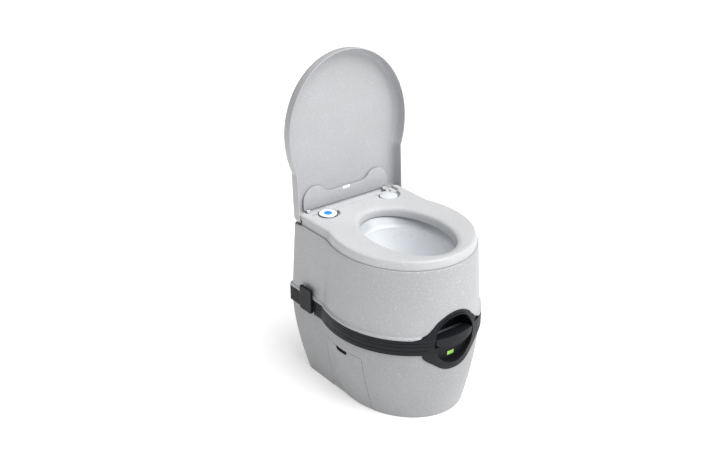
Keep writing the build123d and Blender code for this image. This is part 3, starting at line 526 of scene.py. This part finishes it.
def on_door_edge(place, normal):
    """Whether a face is on the narrow edge round the side door, above its foot."""
    faces_the_side = abs(normal.x) >= 0.6
    return not faces_the_side and place.x < DOOR_EDGE_X and place.z > DOOR_FOOT_Z


# Painted shade: the narrow edge faces round the side door are made near black so the gap reads dark.
refinished(frame["nodes"]["roll_door"].data, PAINTED_SHADE, on_door_edge)


def toned_above(material, low_z, high_z, colour):
    """Changes a material's colour above a height in the shared frame."""
    nodes, links = material.node_tree.nodes, material.node_tree.links
    shader = nodes["Principled BSDF"]
    split = nodes.new("ShaderNodeSeparateXYZ")
    links.new(nodes.new("ShaderNodeTexCoord").outputs["Object"], split.inputs["Vector"])
    share = to_range(nodes, links, split.outputs["Z"], 0.0, 1.0, low_z, high_z)
    below_colour = shader.inputs["Base Color"].links[0].from_socket
    links.new(mixed_colour(nodes, links, share, below_colour, colour), shader.inputs["Base Color"])


# Painted shade: the bowl's colour turns darker from 388 mm up to 400 mm, towards its rim.
toned_above(MATERIALS["bowl"], BOWL_SHADE_LOW_Z, BOWL_SHADE_HIGH_Z, (0.47, 0.49, 0.515))


# ---------------------------------------------------------------- lid
def lid_rear_limit(z, inward):
    """How far back the shut lid reaches at a height, inside the round on its rear top edge."""
    rear_y = CENTRE_Y + LID.back - LID_ROUND
    above = max(0.0, z - (LID_TOP_Z - LID_ROUND))
    radius = LID_ROUND - inward
    return rear_y + sqrt(max(0.0, radius ** 2 - above ** 2))


def lid_wall_rings(by):
    """Rings of the shut lid's wall, grown by an amount, from the rim up to its flat top."""
    height, edge = LID_TOP_Z + by - LID_RIM_Z, 10 * MM
    rings = []
    for turn in steps(0, pi / 2, 19)[1:]:
        z = LID_RIM_Z + height * sqrt(sin(turn))
        points = LID.grown(by - edge * (1 - cos(turn))).points()
        rings.append(level(below(points, lid_rear_limit(z, -by)), z))
    return rings


def make_lid():
    outer, inner = lid_wall_rings(0), lid_wall_rings(-LID_WALL)
    # Across the rim: how far inward and how far up, in millimetres.
    rim = ((0.0, 2.0), (0.0, 0.8), (0.25, 0.2), (0.8, 0.0),
           (1.8, 0.0), (2.35, 0.2), (2.6, 0.8), (2.6, 2.0))
    lip = [level(LID.grown(-inward * MM).points(), LID_RIM_Z + up * MM) for inward, up in rim]
    shares = (0.93, 0.8, 0.6, 0.4, 0.2, 0.0)
    roof, ceiling = shrunk(outer[-1], shares), shrunk(inner[-1], shares)
    lid = skin("lid_shell", [roof[::-1] + outer[::-1] + lip + inner + ceiling])
    boss_start, boss_end, boss_edge = 159.2 * MM, 163.4 * MM, 1 * MM
    bosses = []
    for side in (-1, 1):
        profile = [(0.5 * MM, side * boss_start), (KNUCKLE_R - boss_edge, side * boss_start),
                   (KNUCKLE_R, side * (boss_start + boss_edge)), (KNUCKLE_R, side * boss_end)]
        bosses.append(turned("boss", profile, (HINGE_Y, HINGE_Z), "X"))
    swung_open(joined(lid, *bosses))
    finish_shading(lid)
    lid.data.materials.append(LID_SHELL)
    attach(lid, "lid")
    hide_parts("lid")


# ---------------------------------------------------------------- seat
def bend(before, at, after, count=6):
    """A soft corner: points along a curve from one point to another, pulled towards a corner."""
    return [tuple((1 - t) ** 2 * b + 2 * t * (1 - t) * a + t * t * c for b, a, c in zip(before, at, after))
            for t in steps(0, 1, count)]


def cut_out_side(gap):
    """The right half of the seat's rear cut-out, made smaller by a gap, from its side to its middle."""
    side_x, front_y, radius = CUT_HALF - gap, CUT_FRONT_Y + gap, LOBE_R - gap
    rise = asin((front_y - LOBE_Y) / radius)
    outer_x, inner_x = LOBE_X + radius * cos(rise), LOBE_X - radius * cos(rise)
    outer_reach, inner_reach, corner = 3.5 * MM, 8.0 * MM, 3 * MM

    def on_lobe(angle):
        return LOBE_X + radius * cos(angle), LOBE_Y + radius * sin(angle)

    first, last = rise - outer_reach / radius, -pi - rise + inner_reach / radius
    points = bend((side_x, front_y + corner), (side_x, front_y), (side_x - corner, front_y), 5)
    points += bend((outer_x + outer_reach, front_y), (outer_x, front_y), on_lobe(first))
    points += [on_lobe(a) for a in steps(first, last, 34)[1:-1]]
    points += bend(on_lobe(last), (inner_x, front_y), (inner_x - inner_reach, front_y), 8)
    points += [(x, front_y) for x in steps(inner_x - inner_reach, 0, 9)[1:]]
    return points


def seat_ring(z, out, cut, limit=None):
    """The seat's outline at a height, with its outer side grown and its cut-out widened."""
    plan = SEAT.grown(out)
    right = plan.right_side()
    back_y = plan.back + CENTRE_Y
    wall_x = CUT_HALF + cut
    side = cut_out_side(-cut)
    wall = [(wall_x, y) for y in steps(back_y, side[0][1], 8)[:-1]]
    half = right + wall + side
    points = plan.front_side() + half + [(-x, y) for x, y in reversed(half[:-1])]
    reach = lid_rear_limit(z, LID_WALL + 0.5 * MM)
    return level(below(points, min(reach, limit) if limit else reach), z)


def make_seat():
    top = 439.6 * MM
    heel_y, hollow_y = DECK_BACK_Y - 0.5 * MM, 160 * MM
    # Each row: how far below the top, how far the outline grows and the cut-out widens, in millimetres.
    outside = [(0, -11, 2.2), (0.06, -8.5, 1.4), (0.25, -6.2, 0.8), (0.6, -4.3, 0.4), (1.2, -2.6, 0.12),
               (2.1, -1.2, 0), (3.3, -0.2, 0), (5, 0.6, 0), (7.6, 1.2, 0), (10, 1.6, 0), (12.1, 1.8, 0)]
    rings = [seat_ring(top - down * MM, out * MM, cut * MM) for down, out, cut in outside]
    under = [(12.1, 1.8, 0), (17, 2.4, 0), (21.8, 2.95, 0), (22.6, 2.7, 0.15), (23.1, 2.1, 0.6)]
    rings += [seat_ring(top - down * MM, out * MM, cut * MM, heel_y) for down, out, cut in under]
    inside = [(23.1, 0.7, 2.2), (22.6, 0.1, 2.8), (21.5, 0, 3), (10, -1.2, 3), (3, -2, 3)]
    rings += [seat_ring(top - down * MM, out * MM, cut * MM, hollow_y) for down, out, cut in inside]
    # Each row: how far below the top, and a radius that is made wider and longer into an oval.
    wider, longer = 2.5, 48.5
    hole = [(0, 112), (0.1, 109.5), (0.4, 106.5), (1.0, 103.5), (2.0, 100.5), (3.4, 98), (5.2, 96.2),
            (7.5, 95), (12, 94), (21.8, 93.1), (22.7, 93.4), (23.1, 94.2), (23.1, 95.4), (22.7, 96),
            (21.5, 96.2), (3, 98)]
    hole_rings = [level(oval(0, SEAT_HOLE_Y, (a + wider) * MM, (a + longer) * MM, 128), top - down * MM)
                  for down, a in hole]
    seat = skin("seat_shell", [rings, hole_rings], [[(0, 0), (1, 0)], [(0, -1), (1, -1)]])
    knuckles = []
    for side in (-1, 1):
        start, end = sorted((side * 140 * MM, side * 153 * MM))
        knuckles.append(hinge_knuckle(start, end, KNUCKLE_R + 0.3 * MM))
    joined(seat, *knuckles)
    finish_shading(seat)
    seat.data.materials.append(SEAT_SHELL)
    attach(seat, "seat")
    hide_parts("seat")


# ---------------------------------------------------------------- control deck and its fittings
def deck_ring(z, inset):
    gap = 1.2 * MM + inset
    side = cut_out_side(gap)
    back_y = DECK_BACK_Y - inset
    wall = [(CUT_HALF - gap, y) for y in steps(back_y, side[0][1], 5)[:-1]]
    half = wall + side
    middle = [(x, back_y) for x in steps(-(CUT_HALF - gap), CUT_HALF - gap, 30)[1:-1]]
    return level(half + [(-x, y) for x, y in reversed(half[:-1])] + middle, z)


def make_deck():
    top = DECK_TOP_Z
    # Each row: how far below the top, and how far in from the edge or, in the two wells, a radius.
    edge = [(0, 1.6), (0.1, 1.0), (0.45, 0.4), (1.0, 0.1), (1.6, 0), (17.4, 0)]
    rings = [deck_ring(top - down * MM, inset * MM) for down, inset in edge]
    cup = [(0, 24.2), (0.25, 23.7), (0.9, 23.5), (13.5, 23.4), (13.5, 6)]
    cup_rings = [level(oval(*BUTTON, r * MM, r * MM, 72), top - down * MM) for down, r in cup]
    pit = [(0, 28.6), (0.3, 27.8), (1.2, 27.2), (8.6, 26.6), (9.4, 25.8), (9.5, 20.1)]
    pit_rings = [level(oval(*CAP, r * MM, r * MM, 72), top - down * MM) for down, r in pit]
    deck = skin("control_panel", [rings, cup_rings, pit_rings],
                [[(0, 0), (1, 0), (2, 0)], [(0, -1)], [(1, -1)], [(2, -1)]])
    ears = []
    for side in (-1, 1):
        start, end = sorted((side * 127 * MM, side * 138.8 * MM))
        low = HINGE_Z - KNUCKLE_R
        ears.append(block("ear", (start, DECK_BACK_Y - 5 * MM, low), (end, HINGE_Y, DECK_TOP_Z - 0.2 * MM)))
        ears.append(hinge_knuckle(start, end))
    joined(deck, *ears)
    finish_shading(deck)
    deck.data.materials.append(SEAT_SHELL)
    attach(deck, "upper")
    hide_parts("control_deck")


def make_button():
    ring = [(23.5, 433.5), (25.9, 433.5), (26.0, 434.2), (25.8, 435.2), (25.2, 435.9),
            (24.6, 436.15), (24.0, 435.9), (23.6, 435.3), (23.45, 434.5)]
    turned("bezel_ring", in_mm(ring + ring[:1]), BUTTON, body="upper",
           stands_for=("button_bezel",), slot="bezel", material=MATERIALS["bezel"])
    disc = [(0.3, 419.5), (5.0, 419.5), (5.0, 432.5), (23.0, 432.5), (23.0, 435.6), (22.8, 436.3),
            (22.3, 436.8), (21.5, 437.0), (19.0, 436.9), (14.0, 436.75), (10.6, 436.7), (0.3, 436.7)]
    turned("push_button", in_mm(disc), BUTTON, body="button",
           stands_for=("flush_button",), slot="button", material=MATERIALS["button"])
    dot = [(0.3, 436.72), (10.3, 436.72), (10.3, 437.1), (10.0, 437.3), (9.4, 437.38), (0.3, 437.4)]
    turned("blue_dot", in_mm(dot), BUTTON, body="button",
           stands_for=("button_dot",), slot="dot", material=MATERIALS["dot"])


def make_cap():
    dome_r, dome_top = 56.0, 439.4
    dome = [(r, dome_top - dome_r + sqrt(dome_r ** 2 - r ** 2)) for r in steps(22.0, 0.5, 12)]
    profile = [(0.5, 434.0), (20.5, 434.0), (20.5, 424.8), (20.9, 424.6), (23.1, 424.6), (23.5, 425.2),
               (23.5, 433.0), (23.2, 434.1)]
    shell = turned("filler_cap", in_mm(profile + dome), CAP, count=96)
    shell.data.materials.append(MATERIALS["cap"])
    finish_shading(shell)
    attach(shell, "filler")
    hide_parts("fill_cap")


def bowl_wall_y(x, z):
    """Where the bowl's rear wall is, near its rim."""
    low_z, low_oval = 392, (103, 127, -40)
    rim_z, rim_oval = 415, (108, 146, -34)
    share = (z / MM - low_z) / (rim_z - low_z)
    half_x, half_y, centre_y = [(low + (high - low) * share) * MM for low, high in zip(low_oval, rim_oval)]
    return centre_y + half_y * sqrt(1 - (x / half_x) ** 2)


def make_nozzle():
    """The rinse outlet: a stub that ends just proud of the bowl's rear wall, with a small bore."""
    rings, root_y = [], 124 * MM
    for radius, proud in ((0.2, -2.0), (1.1, -2.0), (1.3, 0.5), (5.3, 0.6), (5.8, 0.4), (6.0, -0.2)):
        ring = oval(*NOZZLE, radius * MM, radius * MM, 40)
        rings.append([(x, bowl_wall_y(x, z) - proud * MM, z) for x, z in ring])
    for radius in (6.0, 0.2):
        rings.append([(x, root_y, z) for x, z in oval(*NOZZLE, radius * MM, radius * MM, 40)])
    skin("rinse_nozzle", [rings], [[(0, 0)], [(0, -1)]], body="upper", stands_for=("flush_nozzle",),
         slot="bowl", material=MATERIALS["bowl"])


# ---------------------------------------------------------------- flap
def flap_ring(z, inset):
    half, rear_y, front_y = 134 * MM - inset, 187 * MM - inset, 152 * MM + inset
    lobe_x, lobe_y, radius = 97 * MM, 165.5 * MM, 37 * MM - inset
    rise = asin((front_y - lobe_y) / radius)
    inner_x, reach, corner = lobe_x - radius * cos(rise), 19 * MM, 5 * MM
    last = -pi - rise + reach / radius

    def on_lobe(angle):
        return lobe_x + radius * cos(angle), lobe_y + radius * sin(angle)

    side = bend((half - corner, rear_y), (half, rear_y), (half, rear_y - corner), 6)
    side += [(half, y) for y in steps(rear_y - corner, lobe_y, 7)[1:-1]]
    side += [on_lobe(a) for a in steps(0, last, 34)[:-1]]
    side += bend(on_lobe(last), (inner_x, front_y), (inner_x - reach, front_y), 12)
    side += [(x, front_y) for x in steps(inner_x - reach, 0, 12)[1:]]
    middle = [(x, rear_y) for x in steps(corner - half, half - corner, 24)[1:-1]]
    return level(side + [(-x, y) for x, y in reversed(side[:-1])] + middle, z)


def make_flap():
    low, high = 440.4 * MM, 442.9 * MM
    # Round the rims: how far in from the edge and how far from the face, in millimetres.
    edge = ((0.9, 0), (0.35, 0.12), (0.1, 0.45), (0, 0.9))
    rings = [flap_ring(low + up * MM, inset * MM) for inset, up in edge]
    rings += [flap_ring(high - down * MM, inset * MM) for inset, down in reversed(edge)]
    flap = skin("cover_flap", [rings], [[(0, 0)], [(0, -1)]])
    tab_half, tab_front, tab_back = 11.5 * MM, 150.5 * MM, 159 * MM
    tab = block("tab", (-tab_half, tab_front, low - 0.5 * MM), (tab_half, tab_back, low + 1.2 * MM), 0.4 * MM)
    profile = in_mm([(186, 440.4), (190.5, 436), (190, 427.5), (203, 427.5), (201.5, 432),
                     (193, 442.9), (183, 442.9), (183, 440.4)])
    arms = []
    for side in (-1, 1):
        start, end = sorted((side * 116.5 * MM, side * 126.5 * MM))
        ends = [[(x, y, z) for y, z in profile] for x in (start, end)]
        arms.append(skin("arm", [ends], [[(0, 0)], [(0, 1)]]))
        arms.append(hinge_knuckle(start, end))

    def on_tab(place, _):
        return abs(place.x) < tab_half + 0.5 * MM and place.z < low - 0.1 * MM

    joined(flap, tab, *arms)
    flap.data.materials.append(LID_SHELL)
    refinished(flap.data, TAB_PLASTIC, on_tab)
    swung_open(flap)
    finish_shading(flap)
    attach(flap, "flap")
    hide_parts("service_flap")


# ---------------------------------------------------------------- door notch
def make_notch_shade():
    """A dark plate of painted shade in the hollow behind the side door's finger notch."""
    front_y, back_y = -37 * MM, 13 * MM
    low_z, high_z = 151 * MM, 163.4 * MM
    outer_depth, inner_depth = 3.05 * MM, 3.38 * MM
    corners = ((outer_depth, low_z), (outer_depth, high_z), (inner_depth, high_z), (inner_depth, low_z))
    bm = bmesh.new()
    columns = []
    for y in steps(front_y, back_y, 9):
        columns.append([bm.verts.new((depth - waste_plan(z).half_width_at(y), y, z)) for depth, z in corners])
    for before, after in zip(columns, columns[1:]):
        for i in range(4):
            bm.faces.new((before[i], before[(i + 1) % 4], after[(i + 1) % 4], after[i]))
    bm.faces.new(columns[0])
    bm.faces.new(columns[-1])
    tidy(bm)
    piece("notch_shade", bm, "base", (), PAINTED_SHADE)


# ---------------------------------------------------------------- tanks
def eye_cutter(by, low_z, high_z, back_y):
    """The hand hole's oval, grown by an amount, cut off at two heights and run back to a depth."""
    outline = [(x, min(max(z, low_z), high_z))
               for x, z in oval(0, EYE_Z, EYE_HALF_WIDTH + by, EYE_HALF_HEIGHT + by, 160)]
    rings = [[(x, y, z) for x, z in outline] for y in (AHEAD_Y, back_y)]
    return skin("cutter", [rings], [[(0, 0)], [(0, 1)]])


def surround_cutter():
    """Where the dark surround lies on the flush tank: the swelling outline, as deep as the ring."""
    upper = in_mm([(112, 240), (92, 244.6), (74, 252.5), (66, 260), (60, 268), (50, 279.5), (37, 288),
                   (19, 296.3), (0, 299)])
    foot_x, foot_z, behind_y = upper[0][0], 236 * MM, -150 * MM
    side = smooth_line(upper, 6)
    outline = [(foot_x, foot_z)] + side + [(-x, z) for x, z in side[-2::-1]] + [(-foot_x, foot_z)]
    rings = [[(x, y, z) for x, z in outline] for y in (AHEAD_Y, behind_y)]
    prism = skin("cutter", [rings], [[(0, 0)], [(0, 1)]])
    plans = [(RING, 230 * MM), (RING, RING_TOP_Z)]
    plans += [(flush_plan(z), z) for z in (FLARE_Z, 265 * MM, 310 * MM)]
    slack = 0.3 * MM
    levels = [level(plan.grown(slack - RING_THICK).points(), z) for plan, z in plans]
    return carved(prism, skin("core", [levels], [[(0, 0)], [(0, -1)]]))


def spline_at(t, a, b, c, d):
    """A value between b and c on the smooth (Catmull-Rom) curve through a, b, c and d."""
    return b + 0.5 * t * (c - a + t * (2 * a - 5 * b + 4 * c - d + t * (3 * (b - c) + d - a)))


def smooth_line(points, count):
    """A smooth curve through points, level at the last one, where its mirror image carries on."""
    before = (2 * points[0][0] - points[1][0], points[0][1])
    mirrored = (-points[-2][0], points[-2][1])
    around = [before] + points + [mirrored]
    line = []
    for p0, p1, p2, p3 in zip(around, around[1:], around[2:], around[3:]):
        for t in steps(0, 1, count + 1)[:-1]:
            line.append(tuple(spline_at(t, *values) for values in zip(p0, p1, p2, p3)))
    return line + [points[-1]]


def box_cutter(low, high):
    return block("cutter", [v * MM for v in low], [v * MM for v in high], 0.4 * MM)


def make_flush_tank():
    # Each row: how far below the top, and how far outward of the outline, in millimetres.
    top = [(0, -1.9), (0.12, -1.2), (0.45, -0.6), (0.95, -0.2), (1.7, 0)]
    rings = [level(FLUSH_TOP.grown(out * MM).points(), TANK_TOP_Z - down * MM) for down, out in top]
    rings += [level(flush_plan(z).points(), z) for z in steps(405 * MM, FLARE_Z + 4 * MM, 26)]
    lip = RING.grown(-0.4 * MM)
    # The sweep out to the lip: a height, and the share of the way from the wall to the lip.
    sweep = [(249.5, 0.0), (247.8, 0.07), (246.8, 0.2), (246.1, 0.42), (245.6, 0.68), (245.1, 0.86),
             (244.4, 0.97), (243.4, 1.0)]
    rings += [level(FLUSH_BASE.mixed(lip, share).points(), z * MM) for z, share in sweep]
    rings.append(level(lip.points(), RING_TOP_Z + 0.2 * MM))
    skirt = RING.grown(-RING_THICK - 0.05 * MM)
    rings += [level(skirt.points(), z) for z in (RING_TOP_Z + 0.15 * MM, SPLIT_Z + 1 * MM)]
    # The well that the bowl hangs in: a height, half a width, half a length and a middle along Y.
    well = [(416, 118.1, 156.1, -34), (414.4, 118.1, 156.1, -34), (414.3, 112, 150, -34),
            (392, 110, 134, -40), (300, 80, 95, -30), (252, 56, 56, -20), (224, 56, 56, -20)]
    well_rings = [level(oval(0, cy * MM, a * MM, b * MM, 128), z * MM) for z, a, b, cy in well]
    tank = skin("flush_tank_shell", [rings, well_rings], [[(0, 0), (1, 0)], [(0, -1), (1, -1)]])
    carved(tank, surround_cutter(), eye_cutter(2.5 * MM, SPLIT_Z - 5 * MM, 400 * MM, -167.5 * MM),
           box_cutter((-165.6, 183, 411.8), (165.6, 209.5, 430)))
    finish_shading(tank)
    tank.data.materials.clear()
    tank.data.materials.append(SHELL)
    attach(tank, "upper")
    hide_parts("flush_tank")


make_lid()
make_seat()
make_deck()
make_button()
make_cap()
make_nozzle()
make_flap()
make_notch_shade()
make_flush_tank()


# ---------------------------------------------------------------- floor, light and camera
def make_floor():
    half = 9.0
    rings = [[(-half, -half, 0), (half, -half, 0), (half, half, 0), (-half, half, 0)]]
    floor = skin("floor", [rings], [[(0, 0)]])
    material, nodes, links, shader, place = new_material("pale_floor")
    cloud = noise(nodes, links, place, 1.5)
    tone = ramp(nodes, links, cloud, [(0.3, (0.72, 0.72, 0.72)), (0.7, (0.73, 0.73, 0.73))])
    links.new(tone, shader.inputs["Base Color"])
    shader.inputs["Roughness"].default_value = 0.7
    shader.inputs["Specular IOR Level"].default_value = 0.0
    shader.inputs["Emission Color"].default_value = (1, 1, 1, 1)
    shader.inputs["Emission Strength"].default_value = 0.42
    floor.data.materials.append(material)


def make_studio():
    """Soft light from above and from the front right, and a little from all round."""
    world = bpy.data.worlds.new("studio")
    world.use_nodes = True
    nodes, links = world.node_tree.nodes, world.node_tree.links
    background = nodes["Background"]
    background.inputs["Color"].default_value = (1.0, 1.0, 1.0, 1)
    towards = nodes.new("ShaderNodeVectorMath")
    towards.operation = "DOT_PRODUCT"
    towards.inputs[1].default_value = Vector((0.40, -0.75, 0.53)).normalized()
    links.new(nodes.new("ShaderNodeTexCoord").outputs["Generated"], towards.inputs[0])
    brightness = to_range(nodes, links, towards.outputs["Value"], 0.13, 0.62, -0.5, 0.9)
    links.new(brightness, background.inputs["Strength"])
    bpy.context.scene.world = world
    bpy.context.scene.view_settings.view_transform = "Standard"
    light = bpy.data.lights.new("soft_key", "SUN")
    light.energy, light.angle = 3.5, radians(60)
    lamp = bpy.data.objects.new("soft_key", light)
    lamp.rotation_euler = Vector((-0.20, 0.50, -0.93)).to_track_quat("-Z", "Y").to_euler()
    bpy.context.scene.collection.objects.link(lamp)


def make_camera():
    """The camera of a product picture taken from the front left, looking down on the seat."""
    data = bpy.data.cameras.new("camera")
    data.lens, data.sensor_width = 57.45, 36.0
    data.clip_end = 30.0
    camera = bpy.data.objects.new("camera", data)
    camera.location = (-1.6027, -1.9228, 1.6435)
    aim = Vector((-0.12919, 0.0, 0.47132))
    camera.rotation_euler = (aim - camera.location).to_track_quat("-Z", "Y").to_euler()
    bpy.context.scene.collection.objects.link(camera)
    bpy.context.scene.camera = camera


make_floor()
make_studio()
make_camera()
